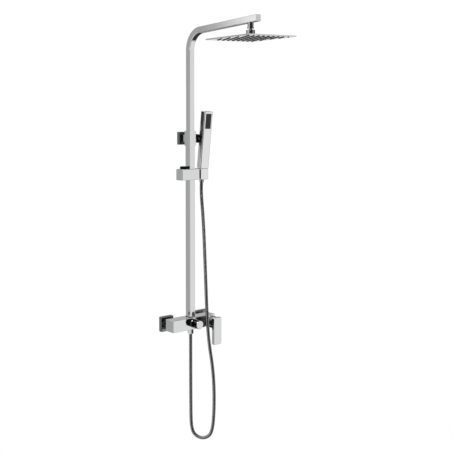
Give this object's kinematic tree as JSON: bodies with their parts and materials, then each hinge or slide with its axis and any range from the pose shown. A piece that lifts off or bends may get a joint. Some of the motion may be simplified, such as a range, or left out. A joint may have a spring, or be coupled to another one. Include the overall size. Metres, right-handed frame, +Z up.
{
  "type": "rainfall shower column",
  "caption": "Square chrome shower column: two-inlet lever mixer with diverter, telescopic riser with overhead rose, and a sliding cradle with stick hand shower on a metal hose.",
  "frame": {"origin": "on the wall's surface, midway between the two inlets", "axes": "+X right when facing the wall, +Y into the wall, +Z up"},
  "size_m": [0.202, 0.4625, 1.4179],
  "materials": {
    "chrome": "polished chrome plate",
    "plated_plastic": "chrome-plated moulding",
    "brass": "turned",
    "rose_steel": "polished stainless steel",
    "hose_steel": "polished wound strip",
    "fixing_steel": "zinc plated",
    "seal_rubber": "moulded",
    "nozzle_rubber": "moulded silicone",
    "inner_plastic": "moulded",
    "panel_plastic": "moulded"
  },
  "bodies": {
    "column": {"valve_body": "chrome", "inlet_union_left": "brass", "inlet_union_right": "brass", "union_nut_left": "chrome", "union_nut_right": "chrome", "inlet_seal_left": "seal_rubber", "inlet_seal_right": "seal_rubber", "escutcheon_left": "chrome", "escutcheon_right": "chrome", "mixer_cartridge": "inner_plastic", "cartridge_nut": "brass", "cartridge_cover": "chrome", "diverter_cartridge": "brass", "diverter_collar": "chrome", "riser_nipple": "brass", "riser_gasket": "seal_rubber", "riser_lower": "chrome", "bracket_plate": "fixing_steel", "bracket_screw_upper": "fixing_steel", "bracket_screw_lower": "fixing_steel", "bracket_flange": "chrome", "bracket_sleeve": "chrome", "guide_bush": "inner_plastic", "outlet_stub": "chrome", "hose_nut": "chrome", "shower_hose": "hose_steel"},
    "mixer_rotor": {"temperature_rotor": "inner_plastic"},
    "mixer_handle": {"lever_stem": "brass", "handle_hub": "chrome", "handle_lever": "chrome"},
    "diverter": {"diverter_spindle": "brass", "diverter_knob": "chrome"},
    "lock": {"lock_lever": "panel_plastic"},
    "arm": {"riser_arm": "chrome", "arm_end_cap": "chrome", "arm_piston": "inner_plastic", "piston_ring": "seal_rubber", "head_nipple": "chrome"},
    "ball_cup": {"ball_seat": "inner_plastic"},
    "rose": {"ball_nut": "chrome", "head_face": "rose_steel", "head_nozzles": "nozzle_rubber", "head_shell": "rose_steel"},
    "slider": {"slider_body": "plated_plastic", "slider_liner": "inner_plastic", "cradle_pin": "fixing_steel", "cradle_washer": "inner_plastic", "button_spring": "fixing_steel"},
    "button": {"release_button": "panel_plastic"},
    "cradle_block": {"cradle": "plated_plastic"},
    "handset": {"hose_cone": "chrome", "handset_body": "plated_plastic", "handset_panel": "panel_plastic", "handset_nozzles": "nozzle_rubber"}
  },
  "joints": [
    {"name": "temperature_swing", "type": "hinge", "parent": "column", "child": "mixer_rotor", "pos_m": [0.062, -0.07138, 0], "axis": [0, 1, 0], "range_deg": [-45, 45]},
    {"name": "flow_lift", "type": "hinge", "parent": "mixer_rotor", "child": "mixer_handle", "pos_m": [0.062, -0.07138, 0], "axis": [-1, 0, 0], "range_deg": [0, 20]},
    {"name": "diverter_turn", "type": "hinge", "parent": "column", "child": "diverter", "pos_m": [0, -0.085, 0], "axis": [0, 1, 0], "range_deg": [0, 90]},
    {"name": "height_lock", "type": "hinge", "parent": "column", "child": "lock", "pos_m": [0.02, -0.05, 0.637], "axis": [-1, 0, 0], "range_deg": [0, 90]},
    {"name": "arm_telescope", "type": "slide", "parent": "column", "child": "arm", "axis": [0, 0, 1], "range_m": [-0.25, 0.15]},
    {"name": "rose_pitch", "type": "hinge", "parent": "arm", "child": "ball_cup", "pos_m": [0, -0.34, 0.953], "axis": [1, 0, 0], "range_deg": [-12, 12]},
    {"name": "rose_roll", "type": "hinge", "parent": "ball_cup", "child": "rose", "pos_m": [0, -0.34, 0.953], "axis": [0, 1, 0], "range_deg": [-10, 12]},
    {"name": "slider_height", "type": "slide", "parent": "column", "child": "slider", "axis": [0, 0, 1], "range_m": [-0.25, 0.055], "deforming": ["shower_hose"]},
    {"name": "release_press", "type": "slide", "parent": "slider", "child": "button", "axis": [0, 0, -1], "range_m": [0, 0.004], "stiffness_N_per_m": 900, "deforming": ["button_spring"]},
    {"name": "cradle_tilt", "type": "hinge", "parent": "slider", "child": "cradle_block", "pos_m": [0.03, -0.044, 0.5095], "axis": [1, 0, 0], "range_deg": [-12, 35], "deforming": ["shower_hose"]},
    {"name": "handset_lift", "type": "slide", "parent": "cradle_block", "child": "handset", "axis": [0, -0.1219, 0.9925], "range_m": [0, 0.08], "deforming": ["shower_hose"]}
  ]
}
